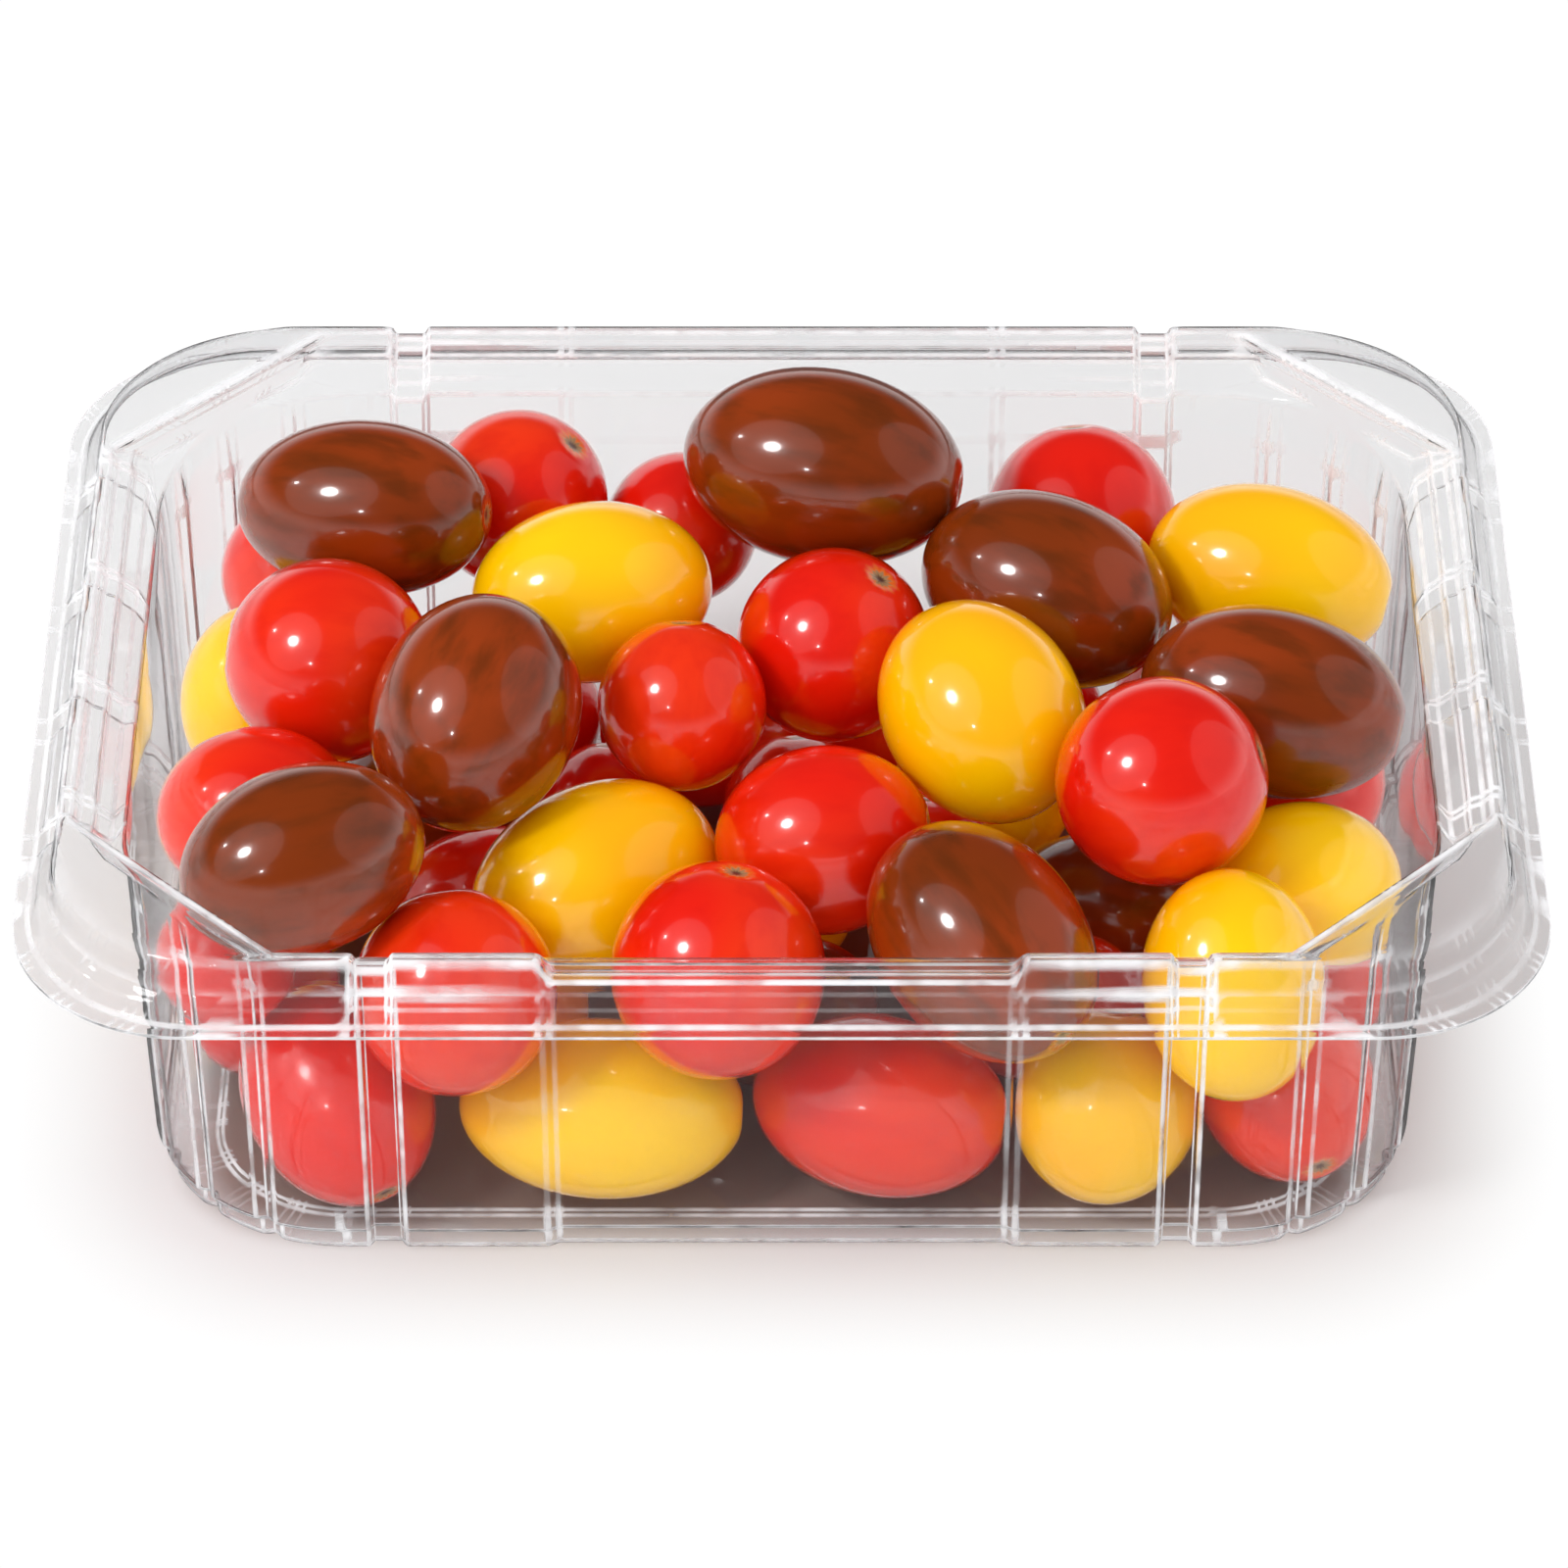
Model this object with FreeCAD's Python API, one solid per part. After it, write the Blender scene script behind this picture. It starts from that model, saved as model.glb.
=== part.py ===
"""A clear thermoformed tray, heaped with small round and plum tomatoes.

Millimetres, +Z up. The origin lies on the standing plane, under the middle of the tray. +X runs
along the tray, and -Y is the long side whose rim is lowered in the middle.
"""
import FreeCAD
import Part

import math
import os
from dataclasses import dataclass

Vector = FreeCAD.Vector

# Sheet and overall size of the tray
SHEET = 0.4
LIP_LENGTH = 200.0
LIP_WIDTH = 153.3
LIP_HEIGHT = 53.7
LIP_CORNER = 24.0

# Crest: its corners are cut straight across on the inner side
CREST_CORNER_LEG = 28.6
CORNER_LEG_TAPER = 1.8
WALL_TOP_CORNER = 28.0

# Foot of the tray, measured on its outer face
FOOT_LENGTH = 168.4
FOOT_WIDTH = 114.4
FOOT_CORNER = 25.5
FOOT_EDGE = 1.0
FOOT_RING = 6.0
BASE_RISE = 0.6
BAND_HEIGHT = 4.0
BAND_STEP = 0.8
BAND_SLOPE = 0.6

# Ribs pressed into the long walls, and the notches of the end rims
RIB_SPACING = 105.2
RIB_WIDTH = 4.6
RIB_DEPTH = 1.2
PRESS_SLANT = 0.6
NOTCHES = 4
NOTCH_LAND = 3.4
NOTCH_WIDTH = 4.6

# Middle panel of the long walls, and the lowered rim above the front one
PANEL_LENGTH = 61.0
PANEL_DEPTH = 0.8
PANEL_SLANT = 1.2
DIP_DEPTH = 3.3

# Upright flutes round each corner
FLUTES = 3
FLUTE_WIDTH = 3.0
FLUTE_DEPTH = 1.0
FLUTE_FADE = 7.0

# Straight left between a corner and the first pressed mark
CORNER_LAND = 0.5

# Share that holds the shift to the lower skin short where patches lie nearly in one plane
OFFSET_HOLD = 0.02

# Tomatoes: their clearance, the dimple at the stem, and how the heap sinks together
FRUIT_GAP = 0.3
STEM_DIMPLE_RADIUS = 2.6
STEM_DIMPLE_DEPTH = 0.7
WALL_DIRECTIONS = 32
SETTLING_STEPS = 160
FALL_STEP = 0.02


@dataclass(frozen=True)
class RimBend:
    """One bend of the rim, from the lip's edge inwards.

    run and climb lead here from the bend before. press_in and press_down are the shares of a
    rib's depth that move this bend, and dip is its share of the lowered stretch.
    """
    run: float
    climb: float
    press_in: float = 0.0
    press_down: float = 0.0
    dip: float = 0.0


LIP_EDGE = RimBend(run=0.0, climb=0.0)
LIP_FLAT = RimBend(run=1.9, climb=0.0)
KNEE = RimBend(run=1.1, climb=2.0, press_in=0.5)
SHOULDER = RimBend(run=1.5, climb=1.4, press_in=0.6, press_down=0.4)
CREST_OUTSIDE = RimBend(run=0.8, climb=4.8, press_down=1.0, dip=1.0)
CREST_INSIDE = RimBend(run=1.7, climb=0.0, press_down=1.0, dip=1.0)
CREST_FOOT = RimBend(run=1.0, climb=-1.4, press_down=0.9, dip=0.72)
SHELF_EDGE = RimBend(run=1.8, climb=-0.7, press_down=0.9, dip=0.55)
SHELF_FOOT = RimBend(run=0.4, climb=-0.9, press_down=0.8, dip=0.35)
SEAT_EDGE = RimBend(run=1.9, climb=-1.7, press_down=0.6, dip=0.05)
WALL_TOP = RimBend(run=1.6, climb=-1.5, press_in=0.8, press_down=0.4)

OUTER_BENDS = (LIP_EDGE, LIP_FLAT, KNEE, SHOULDER, CREST_OUTSIDE)
CUT_BENDS = (CREST_INSIDE, CREST_FOOT, SHELF_EDGE, SHELF_FOOT, SEAT_EDGE)


@dataclass(frozen=True)
class Row:
    """A closed line round the tray on its upper skin: half sizes, height, corner and presses."""
    half_x: float
    half_y: float
    height: float
    leg: float
    cut: bool = False
    wall: bool = False
    level: bool = False
    press_in: float = 0.0
    press_down: float = 0.0
    dip: float = 0.0
    panel: float = 0.0
    flute: float = 0.0


@dataclass(frozen=True)
class Mark:
    """A place on a straight side, from its middle, and what is pressed there."""
    place: float
    rib: float = 0.0
    notch: float = 0.0
    panel: float = 0.0
    dip: float = 0.0


@dataclass(frozen=True)
class Station:
    """One place round the outline: on side 0 to 3, or in the corner after that side."""
    side: int
    mark: Mark = Mark(0.0)
    share: float = 0.0
    flute: float = 0.0
    corner: bool = False
    between: bool = False


def rim_rows():
    """Rows from the lip's edge in to the wall's top."""
    rows = []
    inset = 0.0
    height = LIP_HEIGHT
    crest_inset = sum(bend.run for bend in OUTER_BENDS) + CREST_INSIDE.run
    for bend in OUTER_BENDS + CUT_BENDS + (WALL_TOP,):
        inset += bend.run
        height += bend.climb
        if bend in CUT_BENDS:
            leg = CREST_CORNER_LEG - CORNER_LEG_TAPER * (inset - crest_inset)
        else:
            leg = WALL_TOP_CORNER if bend is WALL_TOP else LIP_CORNER
        rows.append(Row(LIP_LENGTH / 2 - inset, LIP_WIDTH / 2 - inset, height, leg,
                        cut=bend in CUT_BENDS, wall=bend is WALL_TOP,
                        level=bend in (LIP_EDGE, LIP_FLAT), press_in=bend.press_in,
                        press_down=bend.press_down, dip=bend.dip))
    return rows


def wall_rows(top):
    """Rows of the sloping wall, from under its top down to the band round the foot."""
    foot_x = FOOT_LENGTH / 2 + BAND_STEP - SHEET
    foot_y = FOOT_WIDTH / 2 + BAND_STEP - SHEET
    foot_height = BAND_HEIGHT + BAND_SLOPE
    share = FLUTE_FADE / (top.height - foot_height)
    flute_top = Row(top.half_x + share * (foot_x - top.half_x),
                    top.half_y + share * (foot_y - top.half_y),
                    top.height - FLUTE_FADE, top.leg + share * (FOOT_CORNER - top.leg),
                    wall=True, press_in=1.0, panel=1.0, flute=1.0)
    foot = Row(foot_x, foot_y, foot_height, FOOT_CORNER, wall=True,
               press_in=1.0, panel=1.0, flute=1.0)
    return [flute_top, foot]


def foot_rows():
    """Rows of the foot: its band, its rounded edge, the ring it stands on and the raised base."""
    half_x = FOOT_LENGTH / 2 - SHEET
    half_y = FOOT_WIDTH / 2 - SHEET
    pressed = dict(wall=True, press_in=1.0, panel=1.0, flute=1.0)
    ring = FOOT_EDGE + FOOT_RING
    rise = ring + BASE_RISE
    return [
        Row(half_x, half_y, BAND_HEIGHT, FOOT_CORNER, **pressed),
        Row(half_x, half_y, FOOT_EDGE + SHEET, FOOT_CORNER, **pressed),
        Row(half_x - FOOT_EDGE, half_y - FOOT_EDGE, SHEET, FOOT_CORNER - FOOT_EDGE,
            level=True, **pressed),
        Row(half_x - ring, half_y - ring, SHEET, FOOT_CORNER - ring, wall=True, level=True),
        Row(half_x - rise, half_y - rise, SHEET + BASE_RISE, FOOT_CORNER - rise,
            wall=True, level=True),
    ]


def tray_rows():
    """All rows of the upper skin, from the middle of the base out to the lip's edge."""
    rim = rim_rows()
    rows = rim + wall_rows(rim[-1]) + foot_rows()
    return rows[::-1]


def pressed_marks(centre, width, **press):
    """The four marks of one rib or notch: slanting sides and a flat bottom."""
    flat = width / 2 - PRESS_SLANT / 2
    edge = width / 2 + PRESS_SLANT / 2
    return [Mark(centre - edge), Mark(centre - flat, **press),
            Mark(centre + flat, **press), Mark(centre + edge)]


def long_side_marks(front):
    """Marks along a long side: a rib towards each end and the middle panel between them."""
    dip = 1.0 if front else 0.0
    inner = PANEL_LENGTH / 2 - PANEL_SLANT / 2
    outer = PANEL_LENGTH / 2 + PANEL_SLANT / 2
    panel = [Mark(-outer), Mark(-inner, panel=1.0, dip=dip),
             Mark(inner, panel=1.0, dip=dip), Mark(outer)]
    left = pressed_marks(-RIB_SPACING / 2, RIB_WIDTH, rib=1.0)
    right = pressed_marks(RIB_SPACING / 2, RIB_WIDTH, rib=1.0)
    return left + panel + right


def end_side_marks():
    """Marks along an end: notches spread evenly over the straight of the crest."""
    crest_inset = sum(bend.run for bend in OUTER_BENDS) + CREST_INSIDE.run
    straight = LIP_WIDTH / 2 - crest_inset - CREST_CORNER_LEG
    first = NOTCH_LAND - straight
    pitch = -2 * first / (NOTCHES - 1)
    marks = []
    for notch in range(NOTCHES):
        marks += pressed_marks(first + notch * pitch, NOTCH_WIDTH, notch=1.0)
    return marks


def corner_stations(side):
    """Stations of the corner after a side: its two ends, the flutes and the points between."""
    half = FLUTE_WIDTH / (math.pi * FOOT_CORNER)
    shares = [(0.0, 0.0)]
    for flute in range(FLUTES):
        centre = (flute + 1) / (FLUTES + 1)
        shares += [(centre - half, 0.0), (centre, 1.0), (centre + half, 0.0)]
    shares.append((1.0, 0.0))
    stations = []
    for (share, depth), (following, _) in zip(shares, shares[1:] + [(1.0, 0.0)]):
        stations.append(Station(side, share=share, flute=depth, corner=True))
        if following - share > 2 * half:
            stations.append(Station(side, share=(share + following) / 2, corner=True, between=True))
    return stations


def tray_stations():
    """Stations round the outline, seen from above against the clock, from the front side on."""
    sides = (long_side_marks(front=True), end_side_marks(),
             long_side_marks(front=False), end_side_marks())
    stations = []
    for side, marks in enumerate(sides):
        stations += [Station(side, mark=mark) for mark in marks]
        stations += corner_stations(side)
    return stations


def side_reach(side):
    """How far the pressed marks of a side reach from its middle."""
    if side % 2:
        return end_side_marks()[-1].place + CORNER_LAND
    return long_side_marks(front=True)[-1].place + CORNER_LAND


def station_point(row, station, reaches):
    """The point of the upper skin where a row meets a station."""
    along_half, across_half = row.half_x, row.half_y
    if station.side % 2:
        along_half, across_half = row.half_y, row.half_x
    along = along_half - row.leg
    across = across_half - row.leg
    drop = 0.0
    if station.corner:
        turn = math.pi / 2 * station.share
        reach = row.leg - FLUTE_DEPTH * station.flute * row.flute
        if row.cut:
            along += row.leg * station.share
            across += row.leg * (1 - station.share)
        else:
            along += reach * math.sin(turn)
            across += reach * math.cos(turn)
    else:
        mark = station.mark
        press = mark.rib + (0.0 if row.wall else mark.notch)
        along = mark.place * min(1.0, along / reaches[station.side])
        across = across_half - RIB_DEPTH * row.press_in * press
        across -= PANEL_DEPTH * row.panel * mark.panel
        drop = RIB_DEPTH * row.press_down * press + DIP_DEPTH * row.dip * mark.dip
    quarter = math.pi / 2 * station.side
    cosine, sine = math.cos(quarter), math.sin(quarter)
    return Vector(along * cosine + across * sine, along * sine - across * cosine,
                  row.height - drop)


def quad_normal(first, second, third, fourth):
    """Unit normal of a four-cornered patch, pointing to the food side."""
    normal = (third - first).cross(fourth - second)
    return normal.normalize()


def sheet_offset(normals, level):
    """The shift from the upper skin to the lower one that keeps the sheet's thickness."""
    rows = [[OFFSET_HOLD if i == j else 0.0 for j in range(3)] for i in range(3)]
    right = [0.0, 0.0, 0.0]
    for normal in normals:
        for i in range(3):
            right[i] += normal[i]
            for j in range(3):
                rows[i][j] += normal[i] * normal[j]
    columns = [Vector(*column) for column in zip(*rows)]
    right = Vector(*right)
    volume = columns[0].dot(columns[1].cross(columns[2]))
    shift = Vector(right.dot(columns[1].cross(columns[2])) / volume,
                   columns[0].dot(right.cross(columns[2])) / volume,
                   columns[0].dot(columns[1].cross(right)) / volume)
    if level:
        shift.z = 1.0
    return shift * -SHEET


def lower_skin(rows, grid):
    """The lower skin's points, one sheet thickness from the upper skin's."""
    count = len(grid[0])
    normals = []
    for inner, outer in zip(grid, grid[1:]):
        normals.append([quad_normal(inner[j], outer[j], outer[(j + 1) % count],
                                    inner[(j + 1) % count]) for j in range(count)])
    skin = []
    for i, row in enumerate(rows):
        line = []
        for j in range(count):
            around = [normals[k][m] for k in (i - 1, i) if 0 <= k < len(normals)
                      for m in (j - 1, j)]
            if i == 0:
                around += [Vector(0, 0, 1)] * 2
            line.append(grid[i][j] + sheet_offset(around, row.level))
        skin.append(line)
    return skin


def row_edges(row, points, stations):
    """The edges of one row: arcs round a plain corner, straight runs elsewhere."""
    edges = []
    fixed = [j for j, station in enumerate(stations) if not station.between]
    round_corner = not row.cut and not row.flute
    for start, end in zip(fixed, fixed[1:] + fixed[:1]):
        if stations[(start + 1) % len(stations)].between and round_corner:
            arc = Part.Arc(points[start], points[start + 1], points[end])
            edges.append(arc.toShape())
        else:
            edges.append(Part.makeLine(points[start], points[end]))
    return edges


def row_faces(inner_row, outer_row, inner, outer):
    """The faces between two rows: one flat face where both lie level, ruled patches elsewhere."""
    if inner_row.level and outer_row.level and inner_row.height == outer_row.height:
        return [Part.makeFace([Part.Wire(outer), Part.Wire(inner)], "Part::FaceMakerBullseye")]
    return [Part.makeRuledSurface(a, b, 1) for a, b in zip(inner, outer)]


def tray():
    """The tray: two skins of ruled patches, closed at the lip's edge and over the base."""
    rows = tray_rows()
    stations = tray_stations()
    reaches = [side_reach(side) for side in range(4)]
    grid = [[station_point(row, station, reaches) for station in stations] for row in rows]
    skins = [grid, lower_skin(rows, grid)]
    faces = []
    rims = []
    for skin in skins:
        lines = [row_edges(row, points, stations) for row, points in zip(rows, skin)]
        faces.append(Part.Face(Part.Wire(lines[0])))
        for inner_row, outer_row, inner, outer in zip(rows, rows[1:], lines, lines[1:]):
            faces += row_faces(inner_row, outer_row, inner, outer)
        rims.append(lines[-1])
    faces += [Part.makeRuledSurface(a, b, 1) for a, b in zip(*rims)]
    shell = Part.Shell(faces)
    shell.sewShape()
    solid = Part.Solid(shell)
    if solid.Volume < 0:
        solid.reverse()
    return solid


@dataclass
class Fruit:
    """A tomato: its size, where it starts in the heap, and where its stem points.

    across and back are shares of the foot's half length and half width from the tray's middle,
    and height is its centre's. heading turns the stem against the clock from +X, lean lifts it.
    """
    name: str
    length: float
    girth: float
    across: float
    back: float
    height: float
    heading: float
    lean: float

    def __post_init__(self):
        half_x = FOOT_LENGTH / 2 - SHEET
        half_y = FOOT_WIDTH / 2 - SHEET
        self.centre = Vector(self.across * half_x, self.back * half_y, self.height)
        heading, lean = math.radians(self.heading), math.radians(self.lean)
        self.stem = Vector(math.cos(lean) * math.cos(heading),
                           math.cos(lean) * math.sin(heading), math.sin(lean))

    def reach(self, direction):
        """How far the fruit's skin reaches from its centre along a unit direction."""
        half, radius = self.length / 2, self.girth / 2
        along = self.stem.dot(direction)
        return math.sqrt(radius ** 2 + (half ** 2 - radius ** 2) * along ** 2)

    def form(self):
        """The fruit as a matrix, half the clearance larger: its squared half sizes, turned."""
        half = (self.length + FRUIT_GAP) / 2
        radius = (self.girth + FRUIT_GAP) / 2
        extra = half ** 2 - radius ** 2
        return [[radius ** 2 * (i == j) + extra * self.stem[i] * self.stem[j] for j in range(3)]
                for i in range(3)]


# Name, length, girth, across, back, height, heading and lean of each tomato
HEAP = (
    Fruit("red_plum_01", 32.0, 25.5, -0.73, -0.75, 15.0, -60, -30),
    Fruit("yellow_plum_01", 38.5, 24.5, -0.29, -0.76, 14.0, 0, -3),
    Fruit("red_plum_02", 35.0, 24.5, 0.16, -0.75, 14.0, -12, -3),
    Fruit("yellow_round_01", 26.5, 25.0, 0.52, -0.79, 15.0, 80, 60),
    Fruit("red_plum_03", 28.0, 24.0, 0.81, -0.69, 14.0, -70, -20),
    Fruit("red_round_01", 23.5, 22.5, -0.86, -0.33, 12.0, 90, 60),
    Fruit("yellow_plum_02", 29.0, 21.5, -0.48, -0.34, 12.0, 0, 0),
    Fruit("brown_plum_01", 29.0, 21.5, -0.01, -0.36, 12.0, 0, 0),
    Fruit("red_plum_04", 29.0, 21.5, 0.43, -0.34, 12.0, 0, 0),
    Fruit("red_round_02", 21.0, 20.0, 0.88, -0.27, 11.0, 90, 60),
    Fruit("yellow_plum_03", 29.0, 21.0, -0.80, 0.16, 12.0, 90, 0),
    Fruit("red_plum_05", 29.0, 21.5, -0.48, 0.04, 12.0, 10, 0),
    Fruit("yellow_plum_04", 29.0, 21.5, -0.05, 0.02, 12.0, 0, 0),
    Fruit("brown_plum_02", 29.0, 21.5, 0.53, 0.02, 12.0, -10, 0),
    Fruit("red_round_03", 22.0, 21.0, 0.87, 0.46, 12.0, 90, 60),
    Fruit("brown_plum_03", 29.0, 21.5, -0.58, 0.48, 12.0, 0, 0),
    Fruit("red_plum_06", 29.0, 21.5, -0.14, 0.73, 12.0, 0, 0),
    Fruit("yellow_plum_05", 29.0, 21.5, 0.33, 0.43, 12.0, 20, 0),
    Fruit("red_round_04", 23.5, 23.0, 0.71, 0.80, 13.0, 90, 60),
    Fruit("red_round_05", 27.5, 27.0, -0.52, -0.81, 35.0, 100, 50),
    Fruit("red_round_06", 29.0, 28.5, -0.10, -0.78, 40.0, 60, 70),
    Fruit("brown_plum_04", 36.0, 27.0, 0.31, -0.77, 44.0, -50, -20),
    Fruit("yellow_plum_06", 31.0, 24.5, 0.72, -0.82, 37.0, -80, -60),
    Fruit("red_round_07", 19.5, 19.0, -0.89, -0.64, 34.0, 90, 0),
    Fruit("red_round_08", 22.0, 21.0, -0.29, 0.37, 12.0, 90, 60),
    Fruit("red_round_09", 22.0, 21.0, 0.03, 0.40, 12.0, 90, 60),
    Fruit("red_round_10", 22.0, 21.0, 0.24, 0.06, 18.0, 90, 60),
    Fruit("yellow_round_02", 22.0, 21.0, 0.62, 0.38, 12.0, 90, 60),
    Fruit("red_round_11", 20.0, 19.5, -0.68, 0.83, 11.0, 90, 60),
    Fruit("red_round_12", 21.5, 21.0, -0.43, 0.82, 12.0, 90, 60),
    Fruit("red_round_13", 21.5, 21.0, 0.16, 0.82, 12.0, 90, 60),
    Fruit("red_round_14", 21.5, 21.0, 0.42, 0.82, 12.0, 90, 60),
    Fruit("red_round_15", 21.5, 21.0, 0.77, 0.77, 34.0, 90, 60),
    Fruit("yellow_plum_07", 35.5, 27.0, -0.30, -0.38, 36.0, 30, 8),
    Fruit("brown_plum_05", 33.5, 25.0, -0.75, -0.71, 54.0, 25, 5),
    Fruit("red_round_16", 29.5, 25.5, 0.07, -0.36, 43.0, 0, 10),
    Fruit("yellow_plum_08", 29.0, 24.0, 0.84, -0.40, 34.0, 20, 0),
    Fruit("red_round_17", 25.0, 24.0, 0.86, 0.17, 29.0, 0, 40),
    Fruit("red_plum_07", 27.0, 23.5, -0.85, -0.30, 44.0, 0, 10),
    Fruit("red_round_18", 28.5, 28.0, 0.61, -0.43, 54.0, 0, 20),
    Fruit("brown_plum_06", 36.5, 26.0, 0.80, -0.03, 51.0, -14, -6),
    Fruit("yellow_plum_09", 32.5, 27.0, 0.33, -0.09, 53.0, 120, 20),
    Fruit("red_round_19", 27.0, 26.5, 0.08, 0.26, 49.0, 0, 60),
    Fruit("red_round_20", 23.5, 23.0, -0.16, 0.01, 49.0, 90, 60),
    Fruit("brown_plum_07", 33.5, 28.0, -0.49, -0.21, 58.0, 70, 25),
    Fruit("red_round_21", 28.5, 28.0, -0.74, 0.12, 52.0, 180, 10),
    Fruit("yellow_plum_10", 27.0, 22.0, -0.88, 0.39, 35.0, 80, 60),
    Fruit("yellow_plum_11", 33.5, 25.0, -0.31, 0.38, 53.0, 12, 0),
    Fruit("brown_plum_08", 36.0, 24.5, -0.69, 0.57, 59.0, -12, 5),
    Fruit("red_round_22", 23.5, 23.0, -0.82, 0.79, 40.0, 0, 50),
    Fruit("red_round_23", 25.5, 25.0, -0.44, 0.84, 50.0, 0, 50),
    Fruit("red_round_24", 22.0, 21.5, -0.17, 0.88, 44.0, 0, 50),
    Fruit("brown_plum_09", 39.5, 27.5, 0.07, 0.70, 61.0, -12, -2),
    Fruit("red_round_25", 27.5, 27.0, 0.50, 0.83, 47.0, 100, 60),
    Fruit("brown_plum_10", 36.0, 26.5, 0.44, 0.37, 54.0, -25, -5),
    Fruit("yellow_plum_12", 34.5, 24.5, 0.81, 0.49, 51.0, -14, -8),
)


def wall_planes(rows):
    """Planes the fruit stays inside: a direction and how far the ribbed wall lies along it."""
    top = next(row for row in reversed(rows) if row.wall)
    foot = next(row for row in rows if row.height >= BAND_HEIGHT and row.wall)
    press = max(RIB_DEPTH, PANEL_DEPTH, FLUTE_DEPTH)
    planes = []
    for step in range(WALL_DIRECTIONS):
        turn = 2 * math.pi * step / WALL_DIRECTIONS
        cosine, sine = math.cos(turn), math.sin(turn)
        widths = [abs(cosine) * (row.half_x - row.leg) + abs(sine) * (row.half_y - row.leg)
                  + row.leg for row in (foot, top)]
        slope = (widths[1] - widths[0]) / (top.height - foot.height)
        size = math.hypot(1.0, slope)
        direction = Vector(cosine, sine, -slope) / size
        planes.append((direction, (widths[0] - slope * foot.height) / size - press - FRUIT_GAP))
    return planes


def push_apart(first, second, forms):
    """Move two fruit apart along their common normal until they clear each other."""
    between = second.centre - first.centre
    if between.Length > (first.length + second.length) / 2 + FRUIT_GAP:
        return 0.0
    reaches = [math.sqrt(sum(form[i][j] * between[i] * between[j]
                             for i in range(3) for j in range(3))) for form in forms]
    share = reaches[0] / (reaches[0] + reaches[1])
    mixed = [Vector(*[(1 - share) * forms[0][i][j] + share * forms[1][i][j] for j in range(3)])
             for i in range(3)]
    volume = mixed[0].dot(mixed[1].cross(mixed[2]))
    normal = Vector(between.dot(mixed[1].cross(mixed[2])), mixed[0].dot(between.cross(mixed[2])),
                    mixed[0].dot(mixed[1].cross(between))) / volume
    apart = share * (1 - share) * normal.dot(between)
    if apart >= 1.0:
        return 0.0
    normal.normalize()
    push = normal.dot(between) * (1 / math.sqrt(apart) - 1)
    first.centre -= normal * (push / 2)
    second.centre += normal * (push / 2)
    return push


def relax(fruits, forms, limits, floors):
    """One pass over all fruit; returns the largest push that was still needed."""
    largest = 0.0
    for i, first in enumerate(fruits):
        for j in range(i + 1, len(fruits)):
            largest = max(largest, push_apart(first, fruits[j], (forms[i], forms[j])))
    for fruit, planes, floor in zip(fruits, limits, floors):
        for direction, limit in planes:
            over = direction.dot(fruit.centre) - limit
            if over > 0:
                fruit.centre -= direction * over
        fruit.centre.z = max(fruit.centre.z, floor)
    return largest


def settle(fruits, rows):
    """Let the heap sink a little, then push the fruit clear of each other, walls and floor."""
    up = Vector(0, 0, 1)
    planes = wall_planes(rows)
    forms = [fruit.form() for fruit in fruits]
    floors = [SHEET + BASE_RISE + FRUIT_GAP + fruit.reach(up) for fruit in fruits]
    limits = [[(direction, limit - fruit.reach(direction)) for direction, limit in planes]
              for fruit in fruits]
    for step in range(SETTLING_STEPS):
        for fruit in fruits:
            fruit.centre.z -= FALL_STEP * (1 - step / SETTLING_STEPS)
        relax(fruits, forms, limits, floors)
    for _ in range(SETTLING_STEPS):
        if relax(fruits, forms, limits, floors) < FRUIT_GAP / 50:
            break


def tomato(fruit):
    """A fruit turned from half an ellipse, with a shallow dimple at the stem's end."""
    half, radius = fruit.length / 2, fruit.girth / 2
    rim_height = half * math.sqrt(1 - (STEM_DIMPLE_RADIUS / radius) ** 2)
    tip, side = Vector(0, 0, -half), Vector(radius, 0, 0)
    centre = Vector(0, 0, 0)
    if half >= radius:
        ellipse = Part.Ellipse(-tip, side, centre)
        skin = ellipse.toShape(math.acos(rim_height / half), math.pi)
    else:
        ellipse = Part.Ellipse(side, tip, centre)
        skin = ellipse.toShape(-math.asin(rim_height / half), math.pi / 2)
    hollow = (STEM_DIMPLE_RADIUS ** 2 + STEM_DIMPLE_DEPTH ** 2) / (2 * STEM_DIMPLE_DEPTH)
    bottom = Vector(0, 0, rim_height - STEM_DIMPLE_DEPTH)
    turn = math.atan2(STEM_DIMPLE_RADIUS, hollow - STEM_DIMPLE_DEPTH) / 2
    middle = bottom + Vector(hollow * math.sin(turn), 0, hollow * (1 - math.cos(turn)))
    rim = Vector(STEM_DIMPLE_RADIUS, 0, rim_height)
    dimple = Part.Arc(rim, middle, bottom).toShape()
    wire = Part.Wire([Part.makeLine(bottom, tip), skin, dimple])
    solid = Part.Face(wire).revolve(centre, Vector(0, 0, 1), 360)
    solid.Placement = FreeCAD.Placement(fruit.centre,
                                        FreeCAD.Rotation(Vector(0, 0, 1), fruit.stem))
    return solid


def save(shape, name):
    """Write one piece of the model."""
    shape.exportStep("parts/%s.step" % name)


def main():
    """Build the tray, settle the tomatoes in it and write every piece."""
    os.makedirs("parts", exist_ok=True)
    save(tray(), "tray")
    settle(HEAP, tray_rows())
    for fruit in HEAP:
        save(tomato(fruit), fruit.name)
    print("tomatoes:", len(HEAP), "top of the heap:",
          round(max(fruit.centre.z + fruit.reach(Vector(0, 0, 1)) for fruit in HEAP), 1))


if __name__ == "__main__":
    main()
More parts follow.
